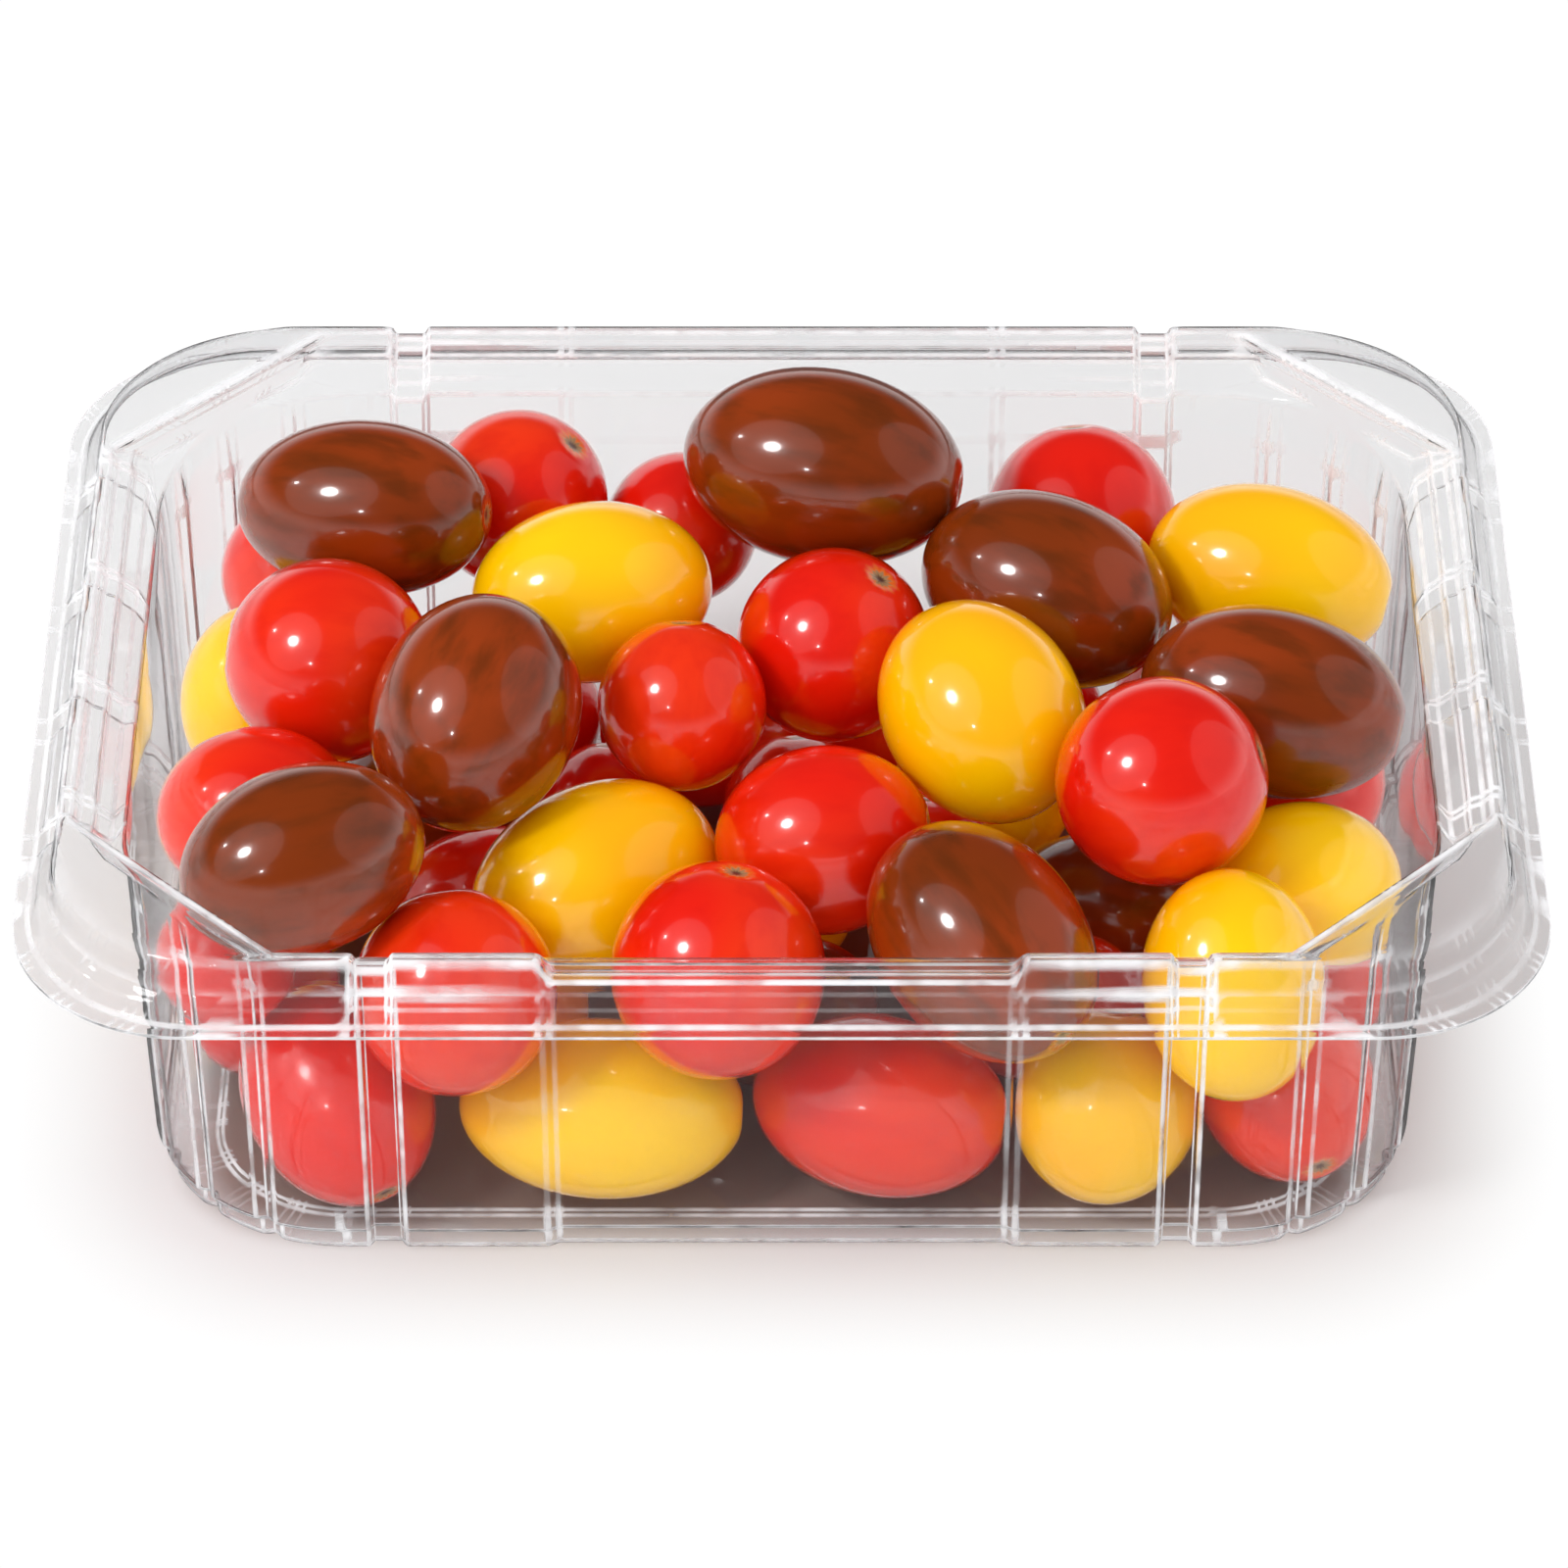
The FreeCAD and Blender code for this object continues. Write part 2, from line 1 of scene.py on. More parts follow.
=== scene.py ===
"""Looks of a clear thermoformed tray heaped with small tomatoes.

Metres, +Z up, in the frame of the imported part: +X runs along the tray, -Y is the side whose rim is
lowered in the middle, and the tray stands on z = 0. The tray and every tomato are modelled here at
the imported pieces' sizes and places, and dressed.
"""
import logging
import math
from dataclasses import dataclass
from enum import Enum
from typing import ClassVar, Sequence

import bpy
import numpy as np
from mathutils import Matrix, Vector

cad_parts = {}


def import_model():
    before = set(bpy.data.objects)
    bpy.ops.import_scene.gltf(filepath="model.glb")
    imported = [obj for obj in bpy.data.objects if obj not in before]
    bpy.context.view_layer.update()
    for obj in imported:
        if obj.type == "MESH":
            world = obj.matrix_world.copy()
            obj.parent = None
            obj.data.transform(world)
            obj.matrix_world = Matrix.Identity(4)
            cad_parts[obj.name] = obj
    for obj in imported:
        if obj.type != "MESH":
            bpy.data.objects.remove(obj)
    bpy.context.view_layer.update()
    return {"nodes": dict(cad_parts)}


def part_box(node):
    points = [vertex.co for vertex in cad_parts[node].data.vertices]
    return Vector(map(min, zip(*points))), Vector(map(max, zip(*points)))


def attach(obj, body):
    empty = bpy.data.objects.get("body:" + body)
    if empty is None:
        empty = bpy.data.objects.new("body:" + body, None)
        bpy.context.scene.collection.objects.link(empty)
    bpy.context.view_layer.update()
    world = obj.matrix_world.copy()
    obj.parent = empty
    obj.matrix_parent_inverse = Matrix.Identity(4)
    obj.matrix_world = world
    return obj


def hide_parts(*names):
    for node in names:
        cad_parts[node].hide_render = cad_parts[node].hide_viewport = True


LOG = logging.getLogger("scene")
MM = 0.001


Colour = tuple[float, float, float, float]
Span = tuple[float, float]


class Skin(Enum):
    """The colours of tomato in the heap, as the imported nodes' names begin."""

    RED = "red"
    YELLOW = "yellow"
    BROWN = "brown"


@dataclass(frozen=True)
class Bend:
    """One bend of the tray's section, from the lip's edge inwards, in millimetres.

    run and climb lead here from the bend before, press_in and press_down are the shares of a rib's
    depth that move it, dip is its share of the lowered stretch, and soft is how far it is rounded.
    """

    run: float
    climb: float
    press_in: float = 0.0
    press_down: float = 0.0
    dip: float = 0.0
    cut: bool = False
    soft: float = 0.5


RIM = (
    Bend(0.0, 0.0, soft=0.0),
    Bend(0.25, 0.0, soft=0.0),
    Bend(1.65, 0.0, soft=0.7),
    Bend(1.1, 2.0, press_in=0.5, soft=0.6),
    Bend(1.5, 1.4, press_in=0.6, press_down=0.4, soft=0.6),
    Bend(0.8, 4.8, press_down=1.0, dip=1.0, soft=0.7),
    Bend(1.7, 0.0, press_down=1.0, dip=1.0, cut=True, soft=0.6),
    Bend(1.0, -1.4, press_down=0.9, dip=0.72, cut=True, soft=0.5),
    Bend(1.8, -0.7, press_down=0.9, dip=0.55, cut=True, soft=0.4),
    Bend(0.4, -0.9, press_down=0.8, dip=0.35, cut=True, soft=0.4),
    Bend(1.9, -1.7, press_down=0.6, dip=0.05, cut=True, soft=0.6),
    Bend(1.6, -1.5, press_in=0.8, press_down=0.4, soft=0.8),
)
CREST_INSIDE = 7


@dataclass(frozen=True)
class Place:
    """One place round the tray's outline: on a side, or in the corner after it."""

    side: int
    place: float = 0.0
    rib: float = 0.0
    notch: float = 0.0
    panel: float = 0.0
    dip: float = 0.0
    share: float = 0.0
    flute: float = 0.0
    corner: bool = False
    soft: float = 0.0


@dataclass
class Tray:
    """The clear tray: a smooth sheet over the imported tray's section, in millimetres."""

    half_x: float
    half_y: float
    sheet: float = 0.4
    lip_height: float = 53.7
    lip_corner: float = 24.0
    crest_corner_leg: float = 28.6
    corner_leg_taper: float = 1.8
    wall_top_corner: float = 28.0
    foot_half_x: float = 84.2
    foot_half_y: float = 57.2
    foot_corner: float = 25.5
    foot_edge: float = 1.0
    foot_ring: float = 6.0
    base_rise: float = 0.6
    band_height: float = 4.0
    band_step: float = 0.8
    band_slope: float = 0.6
    band_soft: float = 0.3
    wall_top_soft: float = 1.5
    rib_spacing: float = 105.2
    rib_width: float = 4.6
    rib_depth: float = 1.2
    press_slant: float = 0.6
    press_soft: float = 0.6
    notches: int = 4
    notch_land: float = 3.4
    notch_width: float = 4.6
    panel_length: float = 61.0
    panel_depth: float = 0.8
    panel_slant: float = 1.2
    panel_soft: float = 0.9
    dip_depth: float = 3.3
    flutes: int = 3
    flute_width: float = 3.0
    flute_depth: float = 1.0
    flute_fade: float = 7.0
    flute_clear: float = 1.4
    flute_near: float = 1.2
    flute_soft: float = 0.5
    corner_soft: float = 1.2
    corner_land: float = 0.5
    corner_points: int = 28
    wall_points: int = 8
    arc_points: int = 3
    most_rounding: float = 0.45
    weld: float = 0.0005
    smooth_angle: float = 50.0
    shortest_edge: float = 0.05
    full_bend_radius: float = 0.9

    def rows(self) -> list[dict]:
        """The coarse rows from the lip's edge down to the base, as named values.

        Returns:
            One dictionary a row, with half sizes, height, corner, presses and rounding.
        """
        rows = []
        inset = 0.0
        height = self.lip_height
        crest_inset = sum(bend.run for bend in RIM[:CREST_INSIDE])
        for number, bend in enumerate(RIM):
            inset += bend.run
            height += bend.climb
            leg = self.lip_corner
            if bend.cut:
                leg = self.crest_corner_leg - self.corner_leg_taper * (inset - crest_inset)
            elif number == len(RIM) - 1:
                leg = self.wall_top_corner
            rows.append(dict(x=self.half_x - inset, y=self.half_y - inset, z=height, leg=leg,
                             cut=float(bend.cut), notch=float(number < len(RIM) - 1),
                             press_in=bend.press_in, press_down=bend.press_down, dip=bend.dip,
                             panel=0.0, flute=0.0, soft=bend.soft))
        return rows + self.wall_rows(rows[-1]) + self.foot_rows()

    def wall_rows(self, top: dict) -> list[dict]:
        """Rows of the sloping wall, from under its top down to the foot's band.

        Args:
            top: the row at the wall's top.

        Returns:
            The rows in order, the lowest at the band's upper edge.
        """
        foot = dict(top, x=self.foot_half_x + self.band_step - self.sheet,
                    y=self.foot_half_y + self.band_step - self.sheet,
                    z=self.band_height + self.band_slope, leg=self.foot_corner)
        fade = self.flute_fade / (top["z"] - foot["z"])
        rows = []
        for step in range(self.wall_points + 1):
            share = fade + (1 - fade) * step / self.wall_points
            row = {key: top[key] + share * (foot[key] - top[key]) for key in top}
            row.update(press_in=1.0, press_down=0.0, panel=1.0, flute=1.0, notch=0.0, soft=0.0)
            rows.append(row)
        rows[0]["soft"] = self.wall_top_soft
        rows[-1]["soft"] = self.band_soft
        return rows

    def foot_rows(self) -> list[dict]:
        """Rows of the foot: its band, rounded edge, standing ring and raised base."""
        x = self.foot_half_x - self.sheet
        y = self.foot_half_y - self.sheet
        pressed = dict(cut=0.0, notch=0.0, press_in=1.0, press_down=0.0, dip=0.0, panel=1.0,
                       flute=1.0)
        plain = dict(pressed, press_in=0.0, panel=0.0, flute=0.0)
        ring = self.foot_edge + self.foot_ring
        rise = ring + self.base_rise
        return [
            dict(pressed, x=x, y=y, z=self.band_height, leg=self.foot_corner,
                 soft=self.band_soft),
            dict(pressed, x=x, y=y, z=self.foot_edge + self.sheet, leg=self.foot_corner, soft=0.5),
            dict(pressed, x=x - self.foot_edge, y=y - self.foot_edge, z=self.sheet,
                 leg=self.foot_corner - self.foot_edge, soft=0.6),
            dict(plain, x=x - ring, y=y - ring, z=self.sheet, leg=self.foot_corner - ring,
                 soft=0.5),
            dict(plain, x=x - rise, y=y - rise, z=self.sheet + self.base_rise,
                 leg=self.foot_corner - rise, soft=0.4),
            dict(plain, x=x - rise - 1, y=y - rise - 1, z=self.sheet + self.base_rise,
                 leg=self.foot_corner - rise - 1, soft=0.0),
        ]

    def pressed_places(self, side: int, centre: float, width: float, **press) -> list[Place]:
        """The four places of one rib or notch, with slanting sides and a flat bottom.

        Args:
            side: the side it lies on.
            centre: its middle along the side.
            width: its width halfway up its slants.
            press: what is pressed there.

        Returns:
            Its places in order.
        """
        flat = width / 2 - self.press_slant / 2
        edge = width / 2 + self.press_slant / 2
        soft = self.press_slant * self.press_soft
        return [Place(side, centre - edge, soft=soft), Place(side, centre - flat, soft=soft, **press),
                Place(side, centre + flat, soft=soft, **press), Place(side, centre + edge, soft=soft)]

    def long_places(self, side: int) -> list[Place]:
        """Places along a long side: a rib towards each end and the middle panel.

        Args:
            side: the side they lie on; the front one, 0, has the lowered stretch.

        Returns:
            The places in order.
        """
        dip = 1.0 if side == 0 else 0.0
        inner = self.panel_length / 2 - self.panel_slant / 2
        outer = self.panel_length / 2 + self.panel_slant / 2
        soft = self.panel_soft
        panel = [Place(side, -outer, soft=soft), Place(side, -inner, panel=1.0, dip=dip, soft=soft),
                 Place(side, inner, panel=1.0, dip=dip, soft=soft), Place(side, outer, soft=soft)]
        left = self.pressed_places(side, -self.rib_spacing / 2, self.rib_width, rib=1.0)
        right = self.pressed_places(side, self.rib_spacing / 2, self.rib_width, rib=1.0)
        return left + panel + right

    def end_places(self, side: int) -> list[Place]:
        """Places along an end: notches spread evenly over the straight of the crest.

        Args:
            side: the side they lie on.

        Returns:
            The places in order.
        """
        straight = self.half_y - sum(bend.run for bend in RIM[:CREST_INSIDE]) - self.crest_corner_leg
        first = self.notch_land - straight
        pitch = -2 * first / (self.notches - 1)
        places = []
        for number in range(self.notches):
            places += self.pressed_places(side, first + number * pitch, self.notch_width, notch=1.0)
        return places

    def corner_places(self, side: int) -> list[Place]:
        """Places of the corner after a side: close together, with a flute's three points.

        Args:
            side: the side before the corner.

        Returns:
            The places in order.
        """
        half = self.flute_width / (math.pi * self.foot_corner)
        centres = [(flute + 1) / (self.flutes + 1) for flute in range(self.flutes)]
        marks = {0.0: 0.0, 1.0: 0.0}
        for step in range(self.corner_points + 1):
            share = step / self.corner_points
            if all(abs(share - centre) > half * self.flute_clear for centre in centres):
                marks[share] = 0.0
        places = []
        for centre in centres:
            marks.update({centre - half: 0.0, centre: 1.0, centre + half: 0.0})
        for share in sorted(marks):
            near_flute = any(abs(share - centre) < half * self.flute_near for centre in centres)
            soft = self.flute_soft if near_flute else 0.0
            if share in (0.0, 1.0):
                soft = self.corner_soft
            places.append(Place(side, share=share, flute=marks[share], corner=True, soft=soft))
        return places

    def places(self) -> list[Place]:
        """All places round the outline, from the front side on, against the clock."""
        places = []
        for side in range(4):
            places += self.end_places(side) if side % 2 else self.long_places(side)
            places += self.corner_places(side)
        return places

    def point(self, row: dict, place: Place, reach: float) -> tuple[float, float, float]:
        """The point of the food side's skin where a row meets a place.

        Args:
            row: the row's named values.
            place: the place round the outline.
            reach: how far the pressed marks of that side reach from its middle.

        Returns:
            The point in millimetres.
        """
        long_half, across_half = (row["y"], row["x"]) if place.side % 2 else (row["x"], row["y"])
        along = long_half - row["leg"]
        across = across_half - row["leg"]
        drop = 0.0
        if place.corner:
            turn = math.pi / 2 * place.share
            radius = row["leg"] - self.flute_depth * place.flute * row["flute"]
            round_along = radius * math.sin(turn)
            round_across = radius * math.cos(turn)
            straight_along = row["leg"] * place.share
            straight_across = row["leg"] * (1 - place.share)
            along += round_along + row["cut"] * (straight_along - round_along)
            across += round_across + row["cut"] * (straight_across - round_across)
        else:
            press = place.rib + row["notch"] * place.notch
            along = place.place * min(1.0, along / reach)
            across = across_half - self.rib_depth * row["press_in"] * press
            across -= self.panel_depth * row["panel"] * place.panel
            drop = self.rib_depth * row["press_down"] * press
            drop += self.dip_depth * row["dip"] * place.dip
        quarter = math.pi / 2 * place.side
        cosine, sine = math.cos(quarter), math.sin(quarter)
        return (along * cosine + across * sine, along * sine - across * cosine, row["z"] - drop)

    def rounding(self, softs: Sequence[float], gaps: Sequence[float], closed: bool) -> np.ndarray:
        """Weights that turn a polyline's points into the points of its rounded copy.

        Args:
            softs: how far each point's bend is rounded; 0 keeps the point.
            gaps: the length from each point to the next.
            closed: whether the polyline is a loop.

        Returns:
            A matrix with a row for each new point and a column for each old one.
        """
        count = len(softs)
        rows = []
        for here, soft in enumerate(softs):
            before, after = (here - 1) % count, (here + 1) % count
            if soft == 0 or (not closed and here in (0, count - 1)):
                weights = np.zeros(count)
                weights[here] = 1.0
                rows.append(weights)
                continue
            back = min(self.most_rounding, soft / gaps[before])
            ahead = min(self.most_rounding, soft / gaps[here])
            for step in range(self.arc_points + 1):
                share = step / self.arc_points
                weights = np.zeros(count)
                weights[before] += (1 - share) ** 2 * back
                weights[here] += (1 - share) ** 2 * (1 - back) + share ** 2 * (1 - ahead)
                weights[here] += 2 * share * (1 - share)
                weights[after] += share ** 2 * ahead
                rows.append(weights)
        return np.array(rows)

    def arc_mask(self, softs: Sequence[float], closed: bool) -> np.ndarray:
        """How near each point of a rounded polyline is to the middle of a rounded bend, 0 to 1.

        Args:
            softs: how far each coarse point's bend is rounded.
            closed: whether the polyline is a loop.

        Returns:
            One value for each point of the rounded copy.
        """
        mask = []
        for here, soft in enumerate(softs):
            if soft == 0 or (not closed and here in (0, len(softs) - 1)):
                mask.append(0.0)
            else:
                mask += [math.sin(math.pi * step / self.arc_points)
                         for step in range(self.arc_points + 1)]
        return np.array(mask)

    def grid(self) -> tuple[np.ndarray, np.ndarray]:
        """Points of the food side's skin, row by row, in metres, and where its bends are."""
        rows, places = self.rows(), self.places()
        reaches = [self.end_places(side)[-1].place if side % 2 else self.long_places(side)[-1].place
                   for side in range(4)]
        reaches = [reach + self.corner_land for reach in reaches]
        coarse = np.array([[self.point(row, place, reaches[place.side]) for place in places]
                           for row in rows])
        top = next(number for number, row in enumerate(rows) if row["flute"])
        middle = next(number for number, place in enumerate(places) if place.panel)
        along = np.linalg.norm(np.roll(coarse[top], -1, axis=0) - coarse[top], axis=1)
        down = np.linalg.norm(coarse[1:, middle] - coarse[:-1, middle], axis=1)
        by_row = self.rounding([row["soft"] for row in rows], list(down) + [1.0], closed=False)
        by_place = self.rounding([place.soft for place in places], along, closed=True)
        fine = np.einsum("ri,ijk,pj->rpk", by_row, coarse, by_place)
        row_mask = self.arc_mask([row["soft"] for row in rows], closed=False)
        row_mask[0] = 1.0
        place_mask = self.arc_mask([place.soft for place in places], closed=True)
        return fine * MM, np.maximum(row_mask[:, None], place_mask[None, :])

    def build(self, finish: "ClearSheet") -> bpy.types.Object:
        """Model the tray and dress it.

        Args:
            finish: the clear sheet's material.

        Returns:
            The tray's piece.
        """
        points, bends = self.grid()
        count_rows, count_places = points.shape[:2]
        bpy.ops.mesh.primitive_grid_add(x_subdivisions=count_places, y_subdivisions=count_rows - 1,
                                        size=2.0)
        piece = bpy.context.active_object
        piece.name = piece.data.name = "clear_tray"
        write_points(piece.data, np.concatenate([points, points[:, :1]], axis=1))
        bend = piece.data.attributes.new("bend", "FLOAT", "POINT")
        masks = np.concatenate([bends, bends[:, :1]], axis=1)
        bend.data.foreach_set("value", masks.astype(np.float32).ravel())
        self.close_base(piece)
        self.face_food_side(piece)
        solidify = piece.modifiers.new("Sheet", "SOLIDIFY")
        solidify.thickness = self.sheet * MM
        solidify.offset = -1.0
        bpy.ops.object.modifier_apply(modifier=solidify.name)
        bpy.ops.object.shade_smooth_by_angle(angle=math.radians(self.smooth_angle))
        self.mark_bends(piece)
        piece.data.materials.append(finish.material())
        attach(piece, "root")
        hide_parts("tray")
        return piece

    def close_base(self, piece: bpy.types.Object) -> None:
        """Weld the skin where its ends meet and close it with the flat base.

        Args:
            piece: the tray's open skin.
        """
        bpy.ops.object.mode_set(mode="EDIT")
        bpy.ops.mesh.select_all(action="SELECT")
        bpy.ops.mesh.remove_doubles(threshold=self.weld * MM)
        bpy.ops.mesh.select_mode(type="EDGE")
        bpy.ops.mesh.select_all(action="DESELECT")
        bpy.ops.mesh.select_non_manifold(extend=False, use_wire=False, use_multi_face=False,
                                         use_non_contiguous=False, use_verts=False)
        bpy.ops.object.mode_set(mode="OBJECT")
        middle_height = self.lip_height * MM / 2
        for edge in piece.data.edges:
            ends = [piece.data.vertices[number].co for number in edge.vertices]
            edge.select = edge.select and all(end.z < middle_height for end in ends)
        bpy.ops.object.mode_set(mode="EDIT")
        bpy.ops.mesh.edge_face_add()
        bpy.ops.mesh.select_all(action="SELECT")
        bpy.ops.mesh.normals_make_consistent(inside=False)
        bpy.ops.object.mode_set(mode="OBJECT")

    def mark_bends(self, piece: bpy.types.Object) -> None:
        """Scale the attribute "bend" by how sharply the sheet really bends at each vertex.

        Args:
            piece: the finished tray.
        """
        mesh = piece.data
        count = len(mesh.vertices)
        spots = read_points(mesh)
        normals = np.empty(count * 3, np.float32)
        mesh.vertex_normals.foreach_get("vector", normals)
        ends = np.empty(len(mesh.edges) * 2, np.int32)
        mesh.edges.foreach_get("vertices", ends)
        normals, ends = normals.reshape(-1, 3), ends.reshape(-1, 2)
        length = np.linalg.norm(spots[ends[:, 0]] - spots[ends[:, 1]], axis=1) / MM
        turned = np.linalg.norm(normals[ends[:, 0]] - normals[ends[:, 1]], axis=1)
        curve = np.zeros(count)
        for column in (0, 1):
            np.maximum.at(curve, ends[:, column], turned / np.maximum(length, self.shortest_edge))
        mask = np.empty(count, np.float32)
        bend = mesh.attributes["bend"].data
        bend.foreach_get("value", mask)
        bend.foreach_set("value", (mask * np.clip(curve * self.full_bend_radius, 0, 1))
                         .astype(np.float32))

    def face_food_side(self, piece: bpy.types.Object) -> None:
        """Turn every face of the open skin so that it looks up at the food.

        Args:
            piece: the tray before its wall gets its thickness.
        """
        base = max(piece.data.polygons, key=lambda face: face.area)
        if base.normal.z < 0:
            bpy.ops.object.mode_set(mode="EDIT")
            bpy.ops.mesh.select_all(action="SELECT")
            bpy.ops.mesh.flip_normals()
            bpy.ops.object.mode_set(mode="OBJECT")


@dataclass(frozen=True)
class ClearSheet:
    """Clear glossy sheet: faint white veil, bright lines along its bends, grey at grazing angles.

    The bright lines are painted highlights and the grey is painted shade; both stand in for light
    that the bends and edges reflect and refract.
    """

    tint: Colour = (0.962, 0.966, 0.972, 1.0)
    # Painted shade: the sheet's colour at grazing angles, for the dark lines along its edges.
    painted_grazing_grey: Colour = (0.62, 0.62, 0.65, 1.0)
    grazing: Span = (0.55, 0.97)
    veil_and_painted_line_colour: Colour = (0.93, 0.93, 0.95, 1.0)
    mirror: Colour = (0.55, 0.55, 0.55, 1.0)
    roughness: float = 0.015
    ior: float = 1.36
    veil: float = 0.003
    # line sets the painted highlights: how white the lines along the bends are.
    line: float = 0.7
    bend_span: Span = (0.1, 0.8)
    broken_scale: float = 160.0
    broken_span: Span = (0.30, 0.62)
    unbroken: float = 0.35
    wave_scale: float = 55.0
    wave_height: float = 0.12

    def material(self) -> bpy.types.Material:
        """Make the material."""
        material = bpy.data.materials.new("clear_sheet")
        material.use_nodes = True
        tree = material.node_tree
        shader = tree.nodes["Principled BSDF"]
        output = tree.nodes["Material Output"]
        shader.inputs["Roughness"].default_value = self.roughness
        shader.inputs["IOR"].default_value = self.ior
        shader.inputs["Specular Tint"].default_value = self.mirror
        shader.inputs["Transmission Weight"].default_value = 1.0
        # The sheet turns grey at grazing angles: painted shade, standing in for darker surroundings
        # seen through its edges.
        facing = tree.nodes.new("ShaderNodeLayerWeight")
        facing.inputs["Blend"].default_value = 0.5
        grazing = ramp(tree, facing.outputs["Facing"], *self.grazing)
        tree.links.new(mix_colour(tree, grazing, self.tint, self.painted_grazing_grey),
                       shader.inputs["Base Color"])
        coordinates = tree.nodes.new("ShaderNodeTexCoord")
        waves = noise_mask(tree, coordinates.outputs["Object"], self.wave_scale, 0.0)
        bump = tree.nodes.new("ShaderNodeBump")
        bump.inputs["Strength"].default_value = self.wave_height
        bump.inputs["Distance"].default_value = MM
        tree.links.new(waves, bump.inputs["Height"])
        tree.links.new(bump.outputs["Normal"], shader.inputs["Normal"])
        # A white matt layer: a faint veil all over, and painted highlights as lines along the bends.
        white_veil_and_painted_lines = tree.nodes.new("ShaderNodeBsdfDiffuse")
        white_veil_and_painted_lines.inputs["Color"].default_value = self.veil_and_painted_line_colour
        veiled_with_painted_lines = tree.nodes.new("ShaderNodeMixShader")
        tree.links.new(self.veil_and_painted_line_mask(tree, coordinates.outputs["Object"]), veiled_with_painted_lines.inputs["Fac"])
        tree.links.new(shader.outputs["BSDF"], veiled_with_painted_lines.inputs[1])
        tree.links.new(white_veil_and_painted_lines.outputs["BSDF"], veiled_with_painted_lines.inputs[2])
        through = tree.nodes.new("ShaderNodeBsdfTransparent")
        path = tree.nodes.new("ShaderNodeLightPath")
        surface = veiled_with_painted_lines
        for ray in ("Is Diffuse Ray", "Is Shadow Ray"):
            mix = tree.nodes.new("ShaderNodeMixShader")
            tree.links.new(path.outputs[ray], mix.inputs["Fac"])
            tree.links.new(surface.outputs["Shader"], mix.inputs[1])
            tree.links.new(through.outputs["BSDF"], mix.inputs[2])
            surface = mix
        tree.links.new(surface.outputs["Shader"], output.inputs["Surface"])
        return material

    def veil_and_painted_line_mask(self, tree: bpy.types.NodeTree,
                  place: bpy.types.NodeSocket) -> bpy.types.NodeSocket:
        """How white the sheet looks: a faint veil, and broken bright lines along its bends, which are
        painted highlights.

        Args:
            tree: the material's node tree.
            place: the object coordinates' socket.

        Returns:
            The mask's socket.
        """
        bend = tree.nodes.new("ShaderNodeAttribute")
        bend.attribute_name = "bend"
        sharp = ramp(tree, bend.outputs["Fac"], *self.bend_span)
        broken = ramp(tree, noise_mask(tree, place, self.broken_scale, 2.0), *self.broken_span)
        broken = calculate(tree, "MULTIPLY", broken, 1 - self.unbroken)
        # The bright lines along the bends are painted highlights, broken up by noise.
        line = calculate(tree, "MULTIPLY", sharp, calculate(tree, "ADD", self.unbroken, broken))
        return calculate(tree, "ADD", calculate(tree, "MULTIPLY", line, self.line), self.veil)


@dataclass(frozen=True)
class TomatoSkin:
    """Glossy tomato skin: two blended colours, streaks from the stem, and a stem scar."""

    name: str
    main: Colour
    other: Colour
    streak: Colour
    streak_amount: float
    halo: Colour
    # glow is painted fill light: the skin shines faintly in its own colour, lifting its shaded side.
    glow: Colour
    cork: Colour = (0.33, 0.22, 0.10, 1.0)
    pit: Colour = (0.035, 0.028, 0.012, 1.0)
    ior: float = 1.4
    coat_roughness: float = 0.07
    coat_ior: float = 1.45

    def material(self) -> bpy.types.Material:
        """Make the material."""
        material = bpy.data.materials.new(self.name)
        material.use_nodes = True
        tree = material.node_tree
        shader = tree.nodes["Principled BSDF"]
        marks = tree.nodes.new("ShaderNodeGroup")
        marks.node_tree = TomatoMarks().group()
        marks.inputs["Streaks"].default_value = self.streak_amount
        colour = mix_colour(tree, marks.outputs["Blush"], self.main, self.other)
        colour = mix_colour(tree, marks.outputs["Streak"], colour, self.streak)
        colour = mix_colour(tree, marks.outputs["Halo"], colour, self.halo)
        colour = mix_colour(tree, marks.outputs["Cork"], colour, self.cork)
        colour = mix_colour(tree, marks.outputs["Pit"], colour, self.pit)
        tree.links.new(colour, shader.inputs["Base Color"])
        # Painted fill light: a faint glow in the skin's own colour lifts its shaded side; no lamp
        # gives it.
        shader.inputs["Emission Color"].default_value = self.glow
        shader.inputs["Emission Strength"].default_value = 1.0
        tree.links.new(marks.outputs["Roughness"], shader.inputs["Roughness"])
        shader.inputs["IOR"].default_value = self.ior
        shader.inputs["Coat Weight"].default_value = 1.0
        shader.inputs["Coat Roughness"].default_value = self.coat_roughness
        shader.inputs["Coat IOR"].default_value = self.coat_ior
        tree.links.new(marks.outputs["Normal"], shader.inputs["Normal"])
        return material


def mix_colour(tree: bpy.types.NodeTree, mask: bpy.types.NodeSocket,
               first: bpy.types.NodeSocket | tuple[float, ...],
               second: bpy.types.NodeSocket | tuple[float, ...]) -> bpy.types.NodeSocket:
    """Blend two colours by a mask.

    Args:
        tree: the node tree.
        mask: the socket that is 1 where the second colour shows.
        first: the colour, or its socket, where the mask is 0.
        second: the colour, or its socket, where the mask is 1.

    Returns:
        The blended colour's socket.
    """
    node = tree.nodes.new("ShaderNodeMix")
    node.data_type = "RGBA"
    tree.links.new(mask, node.inputs["Factor"])
    for socket, colour in ((node.inputs[6], first), (node.inputs[7], second)):
        if isinstance(colour, bpy.types.NodeSocket):
            tree.links.new(colour, socket)
        else:
            socket.default_value = colour
    return node.outputs[2]


